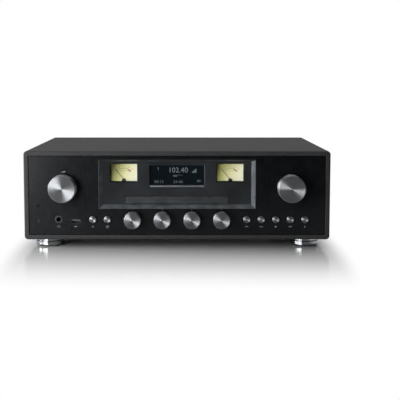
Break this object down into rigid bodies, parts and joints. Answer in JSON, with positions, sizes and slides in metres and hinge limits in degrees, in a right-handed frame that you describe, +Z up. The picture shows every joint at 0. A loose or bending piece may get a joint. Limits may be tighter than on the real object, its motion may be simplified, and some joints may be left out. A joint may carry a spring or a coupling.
{
  "type": "tabletop cd radio",
  "caption": "Tabletop hi-fi disc radio on round chrome feet: black cabinet, recessed bay with needle meters, display and motor tray, turned metal knobs and push buttons.",
  "frame": {"origin": "centre of the base of the bounding box, on the surface the feet stand on", "axes": "+X to the right of a person facing the front, +Y from the front to the rear, +Z up"},
  "size_m": [0.43, 0.3198, 0.137],
  "materials": {
    "case_lacquer": "satin black lacquer on fibreboard",
    "rear_paint": "matt black powder coat",
    "fascia_black": "black anodised, satin",
    "bay_grey": "satin dark grey moulding",
    "window_black": "dark acrylic",
    "foot_chrome": "polished chrome",
    "pad_rubber": "matt",
    "zinc": "zinc plated",
    "display_black": "unlit display glass",
    "lens_clear": "clear, polished",
    "dial_cream": "printed dial, lit from behind",
    "moulded_black": "matt moulded black",
    "needle_black": "matt black",
    "knob_aluminium": "turned, clear anodised",
    "shaft_steel": "ground",
    "rotor_white": "moulded",
    "pcb_green": "solder mask",
    "socket_steel": "nickel plated",
    "sensor_dark": "infra-red filter",
    "loader_grey": "moulded",
    "tray_black": "moulded",
    "tray_front_black": "satin",
    "gear_white": "moulded",
    "pulley_brass": "turned",
    "belt_rubber": "matt",
    "traverse_steel": "plated pressing",
    "supply_brown": "varnished core and board",
    "heatsink_black": "black anodised",
    "spacer_brass": "turned",
    "phono_gold": "gold plated",
    "terminal_metal": "plated, with coloured caps"
  },
  "bodies": {
    "case": {"cabinet": "case_lacquer", "rear_panel": "rear_paint", "fascia": "fascia_black", "bay_bezel": "bay_grey", "window_panel": "window_black", "feet": "foot_chrome", "foot_pads": "pad_rubber", "case_screws": "zinc", "display_module": "display_black", "meter_lenses": "lens_clear", "meter_dials": "dial_cream", "meter_movements": "moulded_black", "encoders": "moulded_black", "tone_pots": "moulded_black", "tact_switches": "moulded_black", "control_board": "pcb_green", "usb_socket": "socket_steel", "headphone_socket": "moulded_black", "sensor_windows": "sensor_dark", "loader_frame": "loader_grey", "loading_motor": "shaft_steel", "loading_belt": "belt_rubber", "clamp_bridge": "zinc", "main_board": "pcb_green", "power_supply": "supply_brown", "heatsink": "heatsink_black", "board_spacers": "spacer_brass", "phono_sockets": "phono_gold", "speaker_terminals": "terminal_metal", "antenna_socket": "socket_steel", "mains_inlet": "moulded_black"},
    "left_needle": {"left_meter_needle": "needle_black"},
    "right_needle": {"right_meter_needle": "needle_black"},
    "volume": {"volume_knob": "knob_aluminium", "volume_shaft": "shaft_steel"},
    "tuning_core": {"tuning_rotor": "rotor_white"},
    "tuning": {"tuning_knob": "knob_aluminium", "tuning_shaft": "shaft_steel"},
    "bass": {"bass_knob": "knob_aluminium"},
    "treble": {"treble_knob": "knob_aluminium"},
    "balance": {"balance_knob": "knob_aluminium"},
    "loudness": {"loudness_knob": "knob_aluminium"},
    "tray": {"disc_tray": "tray_black", "tray_front": "tray_front_black"},
    "gear": {"tray_gear": "gear_white"},
    "motor_spindle": {"motor_pulley": "pulley_brass"},
    "traverse": {"traverse_frame": "traverse_steel", "spindle_motor": "shaft_steel", "guide_rods": "shaft_steel"},
    "platter": {"turntable": "moulded_black"},
    "puck": {"clamp_puck": "moulded_black"},
    "pickup": {"laser_sled": "moulded_black"},
    "rocker": {"mains_rocker": "moulded_black"},
    "menu": {"menu_button": "knob_aluminium"},
    "source": {"source_button": "knob_aluminium"},
    "previous": {"previous_button": "knob_aluminium"},
    "play": {"play_button": "knob_aluminium"},
    "stop": {"stop_button": "knob_aluminium"},
    "next": {"next_button": "knob_aluminium"},
    "eject": {"eject_button": "knob_aluminium"}
  },
  "joints": [
    {"name": "left_needle_swing", "type": "hinge", "parent": "case", "child": "left_needle", "pos_m": [-0.075, -0.13065, 0.0961], "axis": [0, 1, 0], "range_deg": [0, 80], "stiffness_Nm_per_rad": 0.0005},
    {"name": "right_needle_swing", "type": "hinge", "parent": "case", "child": "right_needle", "pos_m": [0.075, -0.13065, 0.0961], "axis": [0, 1, 0], "range_deg": [0, 80], "stiffness_Nm_per_rad": 0.0005},
    {"name": "volume_turn", "type": "hinge", "parent": "case", "child": "volume", "pos_m": [-0.1597, -0.14235, 0.0853], "axis": [0, 1, 0], "continuous": true},
    {"name": "tuning_turn", "type": "hinge", "parent": "case", "child": "tuning_core", "pos_m": [0.1597, -0.14235, 0.0853], "axis": [0, 1, 0], "continuous": true},
    {"name": "tuning_push", "type": "slide", "parent": "tuning_core", "child": "tuning", "axis": [0, 1, 0], "range_m": [0, 0.0008], "stiffness_N_per_m": 1500},
    {"name": "bass_turn", "type": "hinge", "parent": "case", "child": "bass", "pos_m": [-0.0624, -0.14235, 0.0405], "axis": [0, 1, 0], "range_deg": [-150, 150]},
    {"name": "treble_turn", "type": "hinge", "parent": "case", "child": "treble", "pos_m": [-0.0208, -0.14235, 0.0405], "axis": [0, 1, 0], "range_deg": [-150, 150]},
    {"name": "balance_turn", "type": "hinge", "parent": "case", "child": "balance", "pos_m": [0.0208, -0.14235, 0.0405], "axis": [0, 1, 0], "range_deg": [-150, 150]},
    {"name": "loudness_turn", "type": "hinge", "parent": "case", "child": "loudness", "pos_m": [0.0624, -0.14235, 0.0405], "axis": [0, 1, 0], "range_deg": [-150, 150]},
    {"name": "menu_press", "type": "slide", "parent": "case", "child": "menu", "axis": [0, 1, 0], "range_m": [0, 0.0008], "stiffness_N_per_m": 400},
    {"name": "source_press", "type": "slide", "parent": "case", "child": "source", "axis": [0, 1, 0], "range_m": [0, 0.0008], "stiffness_N_per_m": 400},
    {"name": "previous_press", "type": "slide", "parent": "case", "child": "previous", "axis": [0, 1, 0], "range_m": [0, 0.0008], "stiffness_N_per_m": 400},
    {"name": "play_press", "type": "slide", "parent": "case", "child": "play", "axis": [0, 1, 0], "range_m": [0, 0.0008], "stiffness_N_per_m": 400},
    {"name": "stop_press", "type": "slide", "parent": "case", "child": "stop", "axis": [0, 1, 0], "range_m": [0, 0.0008], "stiffness_N_per_m": 400},
    {"name": "next_press", "type": "slide", "parent": "case", "child": "next", "axis": [0, 1, 0], "range_m": [0, 0.0008], "stiffness_N_per_m": 400},
    {"name": "eject_press", "type": "slide", "parent": "case", "child": "eject", "axis": [0, 1, 0], "range_m": [0, 0.0008], "stiffness_N_per_m": 400},
    {"name": "tray_slide", "type": "slide", "parent": "case", "child": "tray", "axis": [0, -1, 0], "range_m": [0, 0.135]},
    {"name": "gear_turn", "type": "hinge", "parent": "case", "child": "gear", "pos_m": [-0.07435, -0.11225, 0.0635], "axis": [0, 0, -1], "range_deg": [-5, 864]},
    {"name": "motor_turn", "type": "hinge", "parent": "case", "child": "motor_spindle", "pos_m": [-0.07435, -0.07425, 0.0635], "axis": [0, 0, -1], "range_deg": [-10, 2957]},
    {"name": "traverse_drop", "type": "hinge", "parent": "case", "child": "traverse", "pos_m": [0, 0.02025, 0.052], "axis": [1, 0, 0], "range_deg": [0, 5]},
    {"name": "platter_spin", "type": "hinge", "parent": "traverse", "child": "platter", "pos_m": [0, -0.06475, 0.067], "axis": [0, 0, -1], "continuous": true},
    {"name": "puck_spin", "type": "hinge", "parent": "case", "child": "puck", "pos_m": [0, -0.06475, 0.074], "axis": [0, 0, -1], "continuous": true},
    {"name": "pickup_slide", "type": "slide", "parent": "traverse", "child": "pickup", "axis": [0, 1, 0], "range_m": [0, 0.034]},
    {"name": "rocker_tilt", "type": "hinge", "parent": "case", "child": "rocker", "pos_m": [-0.1595, 0.14485, 0.062], "axis": [1, 0, 0], "range_deg": [0, 16]}
  ],
  "couplings": [
    {"joint": "gear_turn", "follows": "tray_slide", "rad_per_m": 111.11},
    {"joint": "motor_turn", "follows": "tray_slide", "rad_per_m": 380.95},
    {"joint": "puck_spin", "follows": "platter_spin", "ratio": 1}
  ]
}
